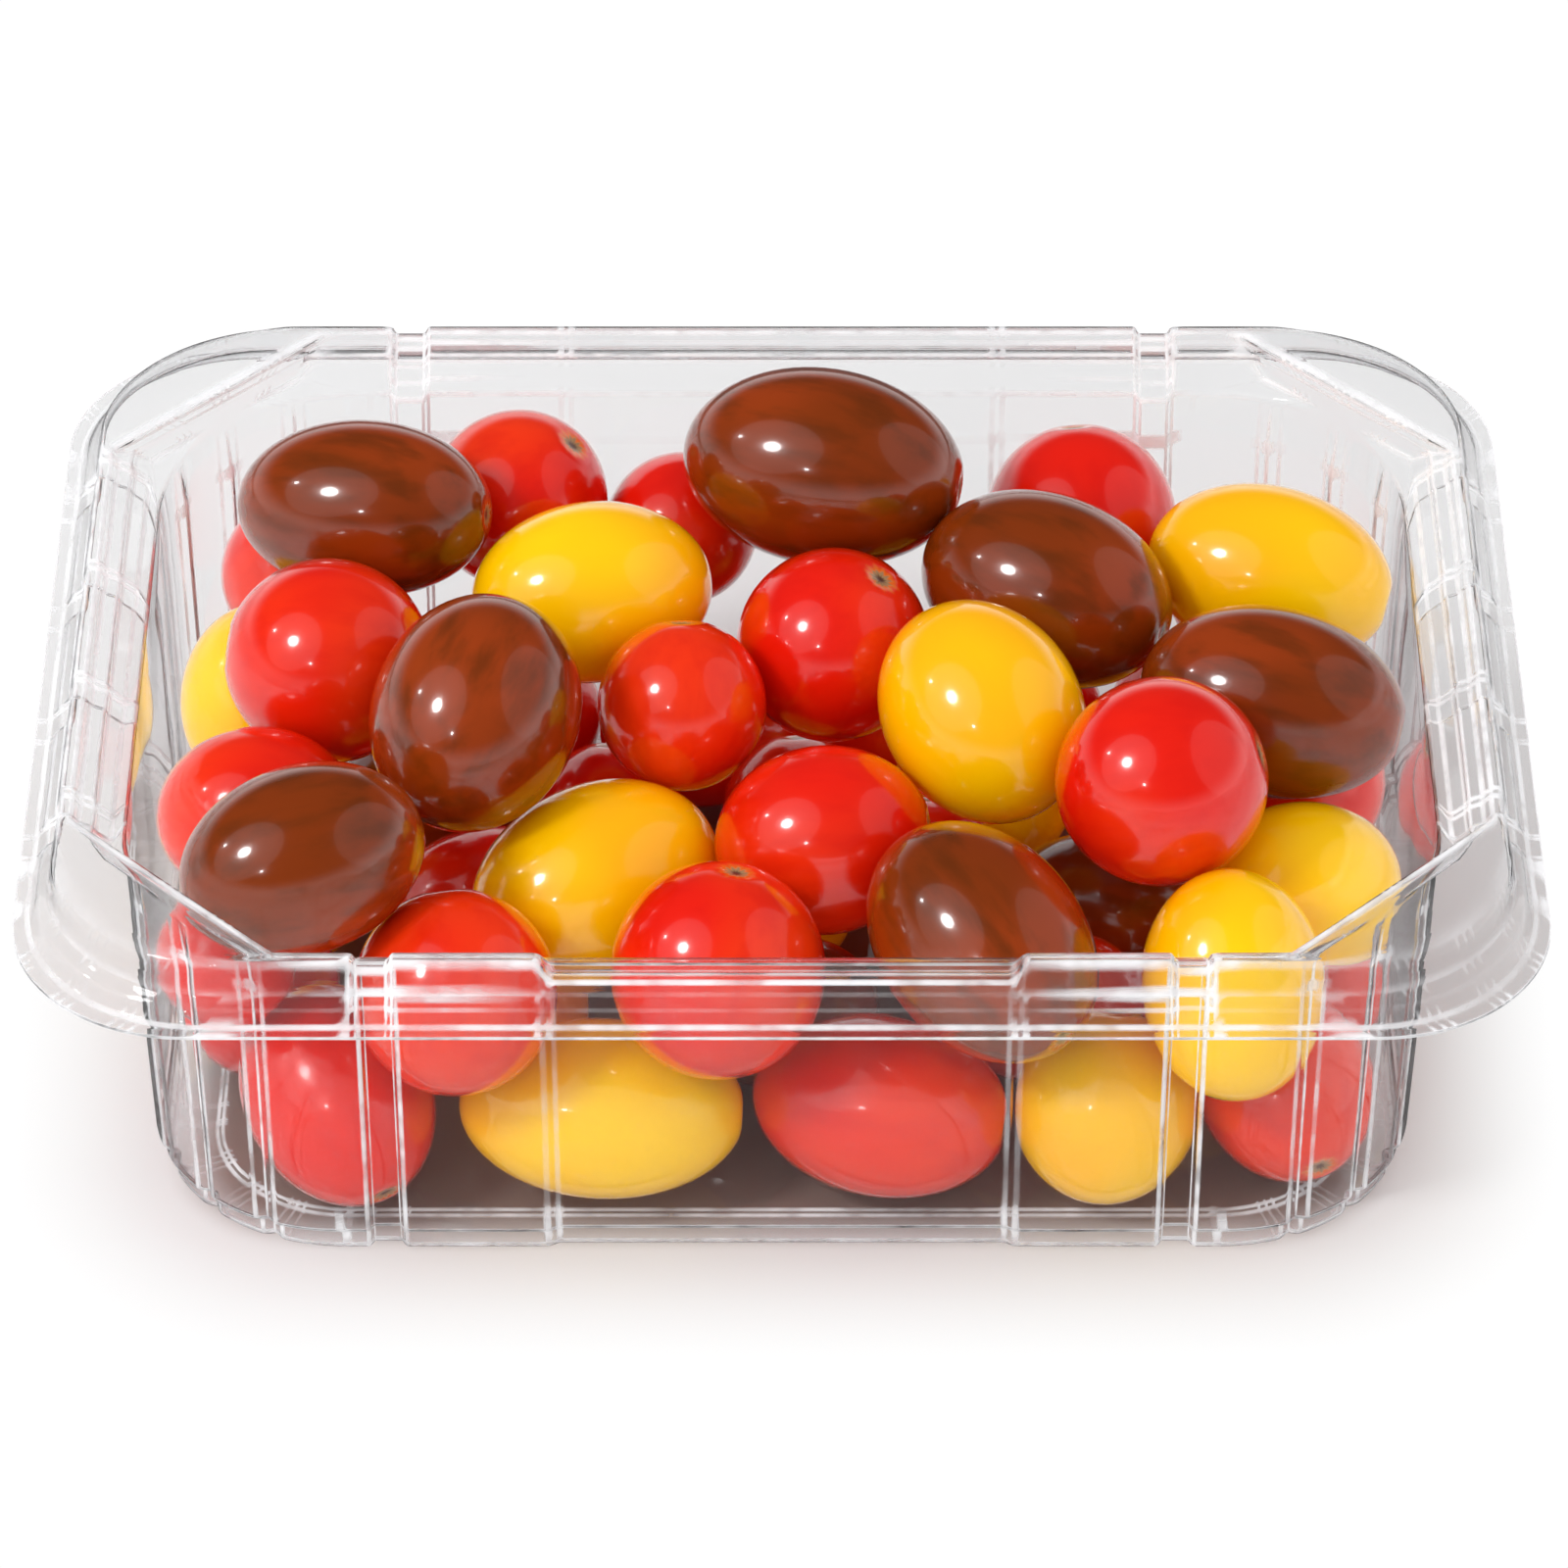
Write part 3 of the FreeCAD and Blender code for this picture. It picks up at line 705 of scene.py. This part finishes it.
def ramp(tree: bpy.types.NodeTree, value: bpy.types.NodeSocket, low: float,
         high: float) -> bpy.types.NodeSocket:
    """A smooth step of a value from 0 at low to 1 at high.

    Args:
        tree: the node tree.
        value: the socket that is stepped.
        low: where the result is 0.
        high: where the result is 1.

    Returns:
        The result's socket.
    """
    node = tree.nodes.new("ShaderNodeMapRange")
    node.interpolation_type = "SMOOTHSTEP"
    node.inputs["From Min"].default_value = low
    node.inputs["From Max"].default_value = high
    tree.links.new(value, node.inputs["Value"])
    return node.outputs["Result"]


def calculate(tree: bpy.types.NodeTree, operation: str,
              *values: bpy.types.NodeSocket | float) -> bpy.types.NodeSocket:
    """One Math node.

    Args:
        tree: the node tree.
        operation: the node's operation.
        values: sockets or numbers it works on.

    Returns:
        The result's socket.
    """
    node = tree.nodes.new("ShaderNodeMath")
    node.operation = operation
    for socket, value in zip(node.inputs, values):
        if isinstance(value, bpy.types.NodeSocket):
            tree.links.new(value, socket)
        else:
            socket.default_value = value
    return node.outputs["Value"]


@dataclass(frozen=True)
class TomatoMarks:
    """The masks on a tomato, from its own coordinates: stem end at +Z, in millimetres."""

    name: str = "tomato_marks"
    blush_scale: float = 38.0
    blush_span: Span = (0.38, 0.66)
    streak_stretch: tuple[float, float, float] = (0.16, 0.16, 0.045)
    streak_scale: float = 1.6
    streak_span: Span = (0.42, 0.72)
    fruit_spread: float = 20.0
    scar_points: float = 11.0
    point_length: float = 0.22
    ragged_scale: float = 900.0
    ragged_length: float = 1.1
    halo_span: Span = (1.9, 3.6)
    halo_strength: float = 0.8
    cork_span: Span = (1.7, 2.3)
    pit_span: Span = (0.9, 1.5)
    skin_roughness: float = 0.2
    cork_roughness: float = 0.6
    pore_scale: float = 2500.0
    pore_height: float = 0.05
    cork_height: float = 0.8
    bump_strength: float = 0.35
    bump_distance: float = 0.3

    def group(self) -> bpy.types.NodeTree:
        """The node group with the masks, built once."""
        if self.name in bpy.data.node_groups:
            return bpy.data.node_groups[self.name]
        tree = bpy.data.node_groups.new(self.name, "ShaderNodeTree")
        tree.interface.new_socket("Streaks", in_out="INPUT", socket_type="NodeSocketFloat")
        for output in ("Blush", "Streak", "Halo", "Cork", "Pit", "Roughness"):
            tree.interface.new_socket(output, in_out="OUTPUT", socket_type="NodeSocketFloat")
        tree.interface.new_socket("Normal", in_out="OUTPUT", socket_type="NodeSocketVector")
        inside = tree.nodes.new("NodeGroupInput")
        outside = tree.nodes.new("NodeGroupOutput")
        place = tree.nodes.new("ShaderNodeAttribute")
        place.attribute_name = "fruit"
        spot = tree.nodes.new("ShaderNodeTexCoord").outputs["Object"]
        blush = noise_mask(tree, spot, self.blush_scale, 1.0)
        tree.links.new(ramp(tree, blush, *self.blush_span), outside.inputs["Blush"])
        streaks = self.streaks(tree, place.outputs["Vector"], spot)
        tree.links.new(calculate(tree, "MULTIPLY", streaks, inside.outputs["Streaks"]),
                       outside.inputs["Streak"])
        ragged = noise_mask(tree, spot, self.ragged_scale, 2.0)
        marks = self.scar(tree, place.outputs["Vector"], ragged)
        rough = calculate(tree, "MULTIPLY", marks["Cork"], self.cork_roughness)
        marks["Roughness"] = calculate(tree, "ADD", self.skin_roughness, rough)
        marks["Normal"] = self.relief(tree, spot, calculate(tree, "MULTIPLY", ragged, marks["Cork"]))
        for output, socket in marks.items():
            tree.links.new(socket, outside.inputs[output])
        return tree

    def streaks(self, tree: bpy.types.NodeTree, place: bpy.types.NodeSocket,
                spot: bpy.types.NodeSocket) -> bpy.types.NodeSocket:
        """Streaks from the stem to the tip, different on each fruit.

        Args:
            tree: the group.
            place: the socket with the fruit's own coordinates.
            spot: the object coordinates' socket.

        Returns:
            The mask's socket.
        """
        stretch = tree.nodes.new("ShaderNodeMapping")
        stretch.inputs["Scale"].default_value = self.streak_stretch
        tree.links.new(place, stretch.inputs["Vector"])
        far = tree.nodes.new("ShaderNodeVectorMath")
        far.operation = "SCALE"
        far.inputs["Scale"].default_value = self.fruit_spread
        tree.links.new(spot, far.inputs[0])
        shift = tree.nodes.new("ShaderNodeVectorMath")
        shift.operation = "ADD"
        tree.links.new(stretch.outputs["Vector"], shift.inputs[0])
        tree.links.new(far.outputs["Vector"], shift.inputs[1])
        streaks = noise_mask(tree, shift.outputs["Vector"], self.streak_scale, 4.0)
        return ramp(tree, streaks, *self.streak_span)

    def scar(self, tree: bpy.types.NodeTree, place: bpy.types.NodeSocket,
             ragged: bpy.types.NodeSocket) -> dict[str, bpy.types.NodeSocket]:
        """The pointed scar where the stem was: pale halo, cork and dark pit.

        Args:
            tree: the group.
            place: the socket with the fruit's own coordinates.
            ragged: a noise that makes its edge uneven.

        Returns:
            The masks' sockets by name.
        """
        axes = tree.nodes.new("ShaderNodeSeparateXYZ")
        tree.links.new(place, axes.inputs["Vector"])
        x, y, z = axes.outputs
        off_axis = calculate(tree, "SQRT", calculate(tree, "ADD", calculate(tree, "MULTIPLY", x, x),
                                                     calculate(tree, "MULTIPLY", y, y)))
        stem_end = calculate(tree, "GREATER_THAN", z, 0.0)
        turn = calculate(tree, "MULTIPLY", calculate(tree, "ARCTAN2", y, x), self.scar_points)
        points = calculate(tree, "MULTIPLY", calculate(tree, "SINE", turn), self.point_length)
        edge = calculate(tree, "ADD", off_axis, points)
        edge = calculate(tree, "ADD", edge, calculate(tree, "MULTIPLY", ragged, self.ragged_length))
        marks = {}
        for name, span in (("Halo", self.halo_span), ("Cork", self.cork_span),
                           ("Pit", self.pit_span)):
            inner = calculate(tree, "SUBTRACT", 1.0, ramp(tree, edge, *span))
            marks[name] = calculate(tree, "MULTIPLY", inner, stem_end)
        marks["Halo"] = calculate(tree, "MULTIPLY", marks["Halo"], self.halo_strength)
        return marks

    def relief(self, tree: bpy.types.NodeTree, spot: bpy.types.NodeSocket,
               cork: bpy.types.NodeSocket) -> bpy.types.NodeSocket:
        """Fine pores in the skin and the rough cork of the scar.

        Args:
            tree: the group.
            spot: the object coordinates' socket.
            cork: the cork's uneven mask.

        Returns:
            The normal's socket.
        """
        pores = noise_mask(tree, spot, self.pore_scale, 2.0)
        height = calculate(tree, "ADD", calculate(tree, "MULTIPLY", pores, self.pore_height),
                           calculate(tree, "MULTIPLY", cork, self.cork_height))
        bump = tree.nodes.new("ShaderNodeBump")
        bump.inputs["Strength"].default_value = self.bump_strength
        bump.inputs["Distance"].default_value = self.bump_distance * MM
        tree.links.new(height, bump.inputs["Height"])
        return bump.outputs["Normal"]


def noise_mask(tree: bpy.types.NodeTree, vector: bpy.types.NodeSocket, scale: float,
               detail: float) -> bpy.types.NodeSocket:
    """A noise value.

    Args:
        tree: the node tree.
        vector: the coordinates' socket.
        scale: the noise's scale.
        detail: its detail.

    Returns:
        The value's socket.
    """
    node = tree.nodes.new("ShaderNodeTexNoise")
    node.inputs["Scale"].default_value = scale
    node.inputs["Detail"].default_value = detail
    tree.links.new(vector, node.inputs["Vector"])
    return node.outputs["Fac"]


def read_points(mesh: bpy.types.Mesh) -> np.ndarray:
    """The mesh's vertices, one row each."""
    flat = np.empty(len(mesh.vertices) * 3, np.float32)
    mesh.vertices.foreach_get("co", flat)
    return flat.reshape(-1, 3)


def write_points(mesh: bpy.types.Mesh, points: np.ndarray) -> None:
    """Move the mesh's vertices to the points, in metres."""
    mesh.vertices.foreach_set("co", points.astype(np.float32).ravel())


@dataclass
class Tomato:
    """One tomato, at the size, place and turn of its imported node."""

    node: str
    centre: Vector
    stem: Vector
    half: float
    radius: float
    rings: int = 40
    segments: int = 64
    dimple_radius: float = 3.25
    dimple_depth: float = 0.7
    fit_rounds: ClassVar[int] = 6
    fit_tolerance: ClassVar[float] = 0.01

    @classmethod
    def measured(cls, node: str, mesh: bpy.types.Mesh) -> "Tomato":
        """Read a tomato's centre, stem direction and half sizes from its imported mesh.

        Args:
            node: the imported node's name.
            mesh: its mesh.

        Returns:
            The tomato.
        """
        points = read_points(mesh).astype(float) / MM
        middle = (points.min(0) + points.max(0)) / 2
        spread = points - middle
        kept = np.ones(len(spread), bool)
        for _ in range(cls.fit_rounds):
            x, y, z = spread[kept].T
            terms = np.stack([x * x, y * y, z * z, 2 * x * y, 2 * x * z, 2 * y * z, x, y, z], 1)
            fit = np.linalg.lstsq(terms, np.ones(len(terms)), rcond=None)[0]
            form = np.array([[fit[0], fit[3], fit[4]], [fit[3], fit[1], fit[5]],
                             [fit[4], fit[5], fit[2]]])
            shift = -np.linalg.solve(form, fit[6:]) / 2
            away = spread - shift
            level = np.einsum("ni,ij,nj->n", away, form, away)
            level /= 1 + shift @ form @ shift
            kept = np.abs(level - 1) < cls.fit_tolerance
        sizes, axes = np.linalg.eigh(form / (1 + shift @ form @ shift))
        halves = 1 / np.sqrt(sizes)
        odd = 0 if halves[0] - halves[1] > halves[1] - halves[2] else 2
        others = [number for number in range(3) if number != odd]
        stem = axes[:, odd]
        dented = away[~kept]
        if len(dented) and (dented @ stem).mean() < 0:
            stem = -stem
        return cls(node, Vector((middle + shift) * MM), Vector(stem), float(halves[odd]),
                   float(halves[others].mean()))

    def build(self, skin: bpy.types.Material) -> bpy.types.Object:
        """Model the tomato and dress it.

        Args:
            skin: the material of its skin.

        Returns:
            The tomato's piece.
        """
        bpy.ops.object.select_all(action="DESELECT")
        bpy.ops.mesh.primitive_uv_sphere_add(segments=self.segments, ring_count=self.rings,
                                             radius=1.0)
        piece = bpy.context.active_object
        piece.name = piece.data.name = self.node + "_skin"
        mesh = piece.data
        points = self.shaped(read_points(mesh).astype(float))
        local = mesh.attributes.new("fruit", "FLOAT_VECTOR", "POINT")
        local.data.foreach_set("vector", points.astype(np.float32).ravel())
        turn = self.stem.to_track_quat("Z", "Y").to_matrix()
        world = points @ np.array(turn).T * MM + np.array(self.centre)
        write_points(mesh, world)
        mesh.update()
        bpy.ops.object.shade_smooth()
        mesh.materials.append(skin)
        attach(piece, "root")
        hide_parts(self.node)
        return piece

    def shaped(self, points: np.ndarray) -> np.ndarray:
        """Shape a unit sphere's points into the fruit, stem end at +Z, in millimetres.

        Args:
            points: the sphere's points.

        Returns:
            The fruit's points.
        """
        shaped = points * np.array([self.radius, self.radius, self.half])
        off_axis = np.hypot(shaped[:, 0], shaped[:, 1])
        near = np.clip(1 - off_axis / self.dimple_radius, 0, 1) * (shaped[:, 2] > 0)
        shaped[:, 2] -= self.dimple_depth * near ** 2 * (3 - 2 * near)
        return shaped


@dataclass(frozen=True)
class Lamp:
    """A round area lamp: its direction from the tray, distance, diameter and power in watts."""

    name: str
    toward: tuple[float, float, float]
    away: float
    size: float
    power: float


KEY = (-0.577, -0.358, 0.728)
# The key is a small bright core in four nested discs, so its reflection has a soft edge.
LAMPS = (
    Lamp("key", KEY, 1.1, 0.20, 3.1),
    Lamp("key_glow", KEY, 1.15, 0.55, 0.5),
    Lamp("key_glow", KEY, 1.15, 0.8, 1.05),
    Lamp("key_glow", KEY, 1.15, 1.05, 1.7),
    Lamp("key_glow", KEY, 1.15, 1.3, 2.3),
    Lamp("low_fill", (-0.315, -0.769, 0.559), 1.2, 0.05, 0.30),
    Lamp("left_fill", (-0.79, -0.01, 0.61), 1.2, 0.06, 0.30),
    Lamp("right_fill", (0.85, -0.05, 0.5), 1.2, 1.6, 2.2),
)


@dataclass
class Studio:
    """Floor, backdrop light, lamps and camera, in metres.

    The contact shadow follows a rounded rectangle: a core grown by foot_corner all round.
    """

    pitch: float = 38.0
    aim: tuple[float, float, float] = (0.0, -0.0065, 0.040)
    distance: float = 1.0778
    lens: float = 182.33
    sensor: float = 36.0
    shift: float = 0.0015
    floor_size: float = 8.0
    floor_colour: Colour = (0.86, 0.86, 0.86, 1.0)
    floor_roughness: float = 0.6
    floor_specular: float = 0.1
    floor_glow: float = 1.02
    foot_core: tuple[float, float, float] = (0.0642, 0.0372, 1.0)
    foot_corner: float = 0.020
    shadow_reach: float = 0.026
    shadow_start: float = 0.8
    # Painted shade under the tray's foot: its warm dark colour, and where it starts to fade.
    painted_shade_under_foot: Colour = (0.26, 0.18, 0.15, 1.0)
    painted_shade_start: float = 0.5
    mirrored_floor: float = 0.10
    fill: float = 0.72
    horizon_span: Span = (0.02, 0.38)
    overhead: Colour = (0.03, 0.03, 0.032, 1.0)

    def build(self) -> None:
        """Place everything that lights and shows the tray."""
        self.camera()
        self.floor()
        self.world()
        for lamp in LAMPS:
            self.lamp(lamp)

    def camera(self) -> None:
        """A long lens from the front and above, at the photo's angle."""
        data = bpy.data.cameras.new("camera")
        data.lens = self.lens
        data.sensor_width = self.sensor
        data.clip_end = 30.0
        data.shift_x = self.shift
        pitch = math.radians(self.pitch)
        camera = bpy.data.objects.new("camera", data)
        away = Vector((0, -math.cos(pitch), math.sin(pitch))) * self.distance
        camera.location = Vector(self.aim) + away
        camera.rotation_euler = (math.pi / 2 - pitch, 0, 0)
        bpy.context.scene.collection.objects.link(camera)
        bpy.context.scene.camera = camera

    def floor(self) -> None:
        """A pale floor that looks white, with a contact shadow round the foot.

        The camera sees it white away from the foot, reflections see it dark, and the light that it
        throws back, and what shows of it through the tray, is that of a plain matt floor, except that
        under the foot its colour is painted shade, a warm dark.
        """
        bpy.ops.object.select_all(action="DESELECT")
        bpy.ops.mesh.primitive_plane_add(size=self.floor_size)
        floor = bpy.context.active_object
        floor.name = "floor"
        material = bpy.data.materials.new("floor")
        material.use_nodes = True
        tree = material.node_tree
        shader = tree.nodes["Principled BSDF"]
        shader.inputs["Roughness"].default_value = self.floor_roughness
        shader.inputs["Specular IOR Level"].default_value = self.floor_specular
        outside = self.outside_foot(tree)
        near, far = self.foot_corner, self.foot_corner + self.shadow_reach
        # Under the foot the floor's colour is painted shade, fading out towards the foot's edge.
        clear = ramp(tree, outside, self.painted_shade_start * near, near)
        tree.links.new(mix_colour(tree, clear, self.painted_shade_under_foot, self.floor_colour),
                       shader.inputs["Base Color"])
        path = tree.nodes.new("ShaderNodeLightPath")
        seen = calculate(tree, "MULTIPLY", path.outputs["Is Camera Ray"],
                         ramp(tree, outside, self.shadow_start * near, far))
        mirrored = calculate(tree, "MULTIPLY", path.outputs["Is Glossy Ray"],
                             path.outputs["Is Reflection Ray"])
        surface = shader.outputs["BSDF"]
        for mask, strength in ((seen, self.floor_glow), (mirrored, self.mirrored_floor)):
            glow = tree.nodes.new("ShaderNodeEmission")
            glow.inputs["Strength"].default_value = strength
            mix = tree.nodes.new("ShaderNodeMixShader")
            tree.links.new(mask, mix.inputs["Fac"])
            tree.links.new(surface, mix.inputs[1])
            tree.links.new(glow.outputs["Emission"], mix.inputs[2])
            surface = mix.outputs["Shader"]
        tree.links.new(surface, tree.nodes["Material Output"].inputs["Surface"])
        floor.data.materials.append(material)

    def outside_foot(self, tree: bpy.types.NodeTree) -> bpy.types.NodeSocket:
        """How far a point of the floor lies outside the core of the tray's rounded foot.

        Args:
            tree: the floor material's node tree.

        Returns:
            The distance's socket, in metres; the foot's own edge is at foot_corner.
        """
        place = tree.nodes.new("ShaderNodeTexCoord").outputs["Object"]
        for operation, value in (("ABSOLUTE", (0.0, 0.0, 0.0)), ("SUBTRACT", self.foot_core),
                                 ("MAXIMUM", (0.0, 0.0, 0.0))):
            step = tree.nodes.new("ShaderNodeVectorMath")
            step.operation = operation
            tree.links.new(place, step.inputs[0])
            step.inputs[1].default_value = value
            place = step.outputs["Vector"]
        length = tree.nodes.new("ShaderNodeVectorMath")
        length.operation = "LENGTH"
        tree.links.new(place, length.inputs[0])
        return length.outputs["Value"]

    def world(self) -> None:
        """Soft white light; reflections see it pale at the horizon and nearly black overhead."""
        world = bpy.data.worlds.new("studio")
        bpy.context.scene.world = world
        world.use_nodes = True
        tree = world.node_tree
        background = tree.nodes["Background"]
        coordinates = tree.nodes.new("ShaderNodeTexCoord")
        axes = tree.nodes.new("ShaderNodeSeparateXYZ")
        tree.links.new(coordinates.outputs["Generated"], axes.inputs["Vector"])
        white = (1.0, 1.0, 1.0, 1.0)
        high = ramp(tree, axes.outputs["Z"], *self.horizon_span)
        mirrored = mix_colour(tree, high, white, self.overhead)
        path = tree.nodes.new("ShaderNodeLightPath")
        colour = mix_colour(tree, path.outputs["Is Glossy Ray"],
                            (self.fill, self.fill, self.fill, 1.0), mirrored)
        seen = calculate(tree, "MAXIMUM", path.outputs["Is Camera Ray"],
                         path.outputs["Is Transmission Ray"])
        colour = mix_colour(tree, seen, colour, white)
        tree.links.new(colour, background.inputs["Color"])
        background.inputs["Strength"].default_value = 1.0

    def lamp(self, lamp: Lamp) -> None:
        """Hang a lamp so that it looks at the tray.

        Args:
            lamp: what it is like.
        """
        data = bpy.data.lights.new(lamp.name, "AREA")
        data.shape = "DISK"
        data.size = lamp.size
        data.energy = lamp.power
        hung = bpy.data.objects.new(lamp.name, data)
        place = Vector(lamp.toward) * lamp.away
        hung.location = place
        hung.rotation_euler = (Vector(self.aim) - place).to_track_quat("-Z", "Y").to_euler()
        bpy.context.scene.collection.objects.link(hung)


# The last colour of each skin is its glow, painted fill light.
SKINS = {
    Skin.RED: TomatoSkin("red_tomato", (0.78, 0.009, 0.001, 1), (0.86, 0.035, 0.003, 1),
                         (0.64, 0.003, 0.001, 1), 0.35, (0.80, 0.22, 0.02, 1),
                         (0.05, 0.0, 0.0, 1)),
    Skin.YELLOW: TomatoSkin("yellow_tomato", (1.0, 0.63, 0.0, 1), (1.0, 0.49, 0.0, 1),
                            (0.98, 0.56, 0.0, 1), 0.3, (0.75, 0.45, 0.05, 1),
                            (0.12, 0.02, 0.0, 1)),
    Skin.BROWN: TomatoSkin("brown_tomato", (0.21, 0.031, 0.0015, 1), (0.31, 0.040, 0.003, 1),
                           (0.105, 0.022, 0.001, 1), 0.7, (0.62, 0.12, 0.02, 1),
                           (0.006, 0.0, 0.0, 1)),
}


def render_quality() -> None:
    """Light bounces enough for a thin clear sheet over fruit, and no caustics."""
    cycles = bpy.context.scene.cycles
    cycles.max_bounces = 7
    cycles.diffuse_bounces = 1
    cycles.glossy_bounces = 2
    cycles.transmission_bounces = 6
    cycles.transparent_max_bounces = 8
    cycles.blur_glossy = 0.1
    cycles.caustics_refractive = False
    cycles.caustics_reflective = False
    bpy.context.scene.view_settings.view_transform = "Standard"


def main() -> None:
    """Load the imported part, dress it and light it."""
    logging.basicConfig(level=logging.INFO, format="%(message)s")
    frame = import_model()
    bpy.ops.object.select_all(action="DESELECT")
    render_quality()
    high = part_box("tray")[1]
    tray = Tray(half_x=high.x / MM, half_y=high.y / MM)
    piece = tray.build(ClearSheet())
    LOG.info("%s: %d faces", piece.name, len(piece.data.polygons))
    materials = {skin: SKINS[skin].material() for skin in Skin}
    for node in sorted(frame["nodes"]):
        if node == "tray":
            continue
        tomato = Tomato.measured(node, frame["nodes"][node].data)
        piece = tomato.build(materials[Skin(node.split("_")[0])])
        LOG.info("%s: half %.2f, radius %.2f mm", piece.name, tomato.half, tomato.radius)
    Studio().build()
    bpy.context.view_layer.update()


if __name__ == "__main__":
    main()
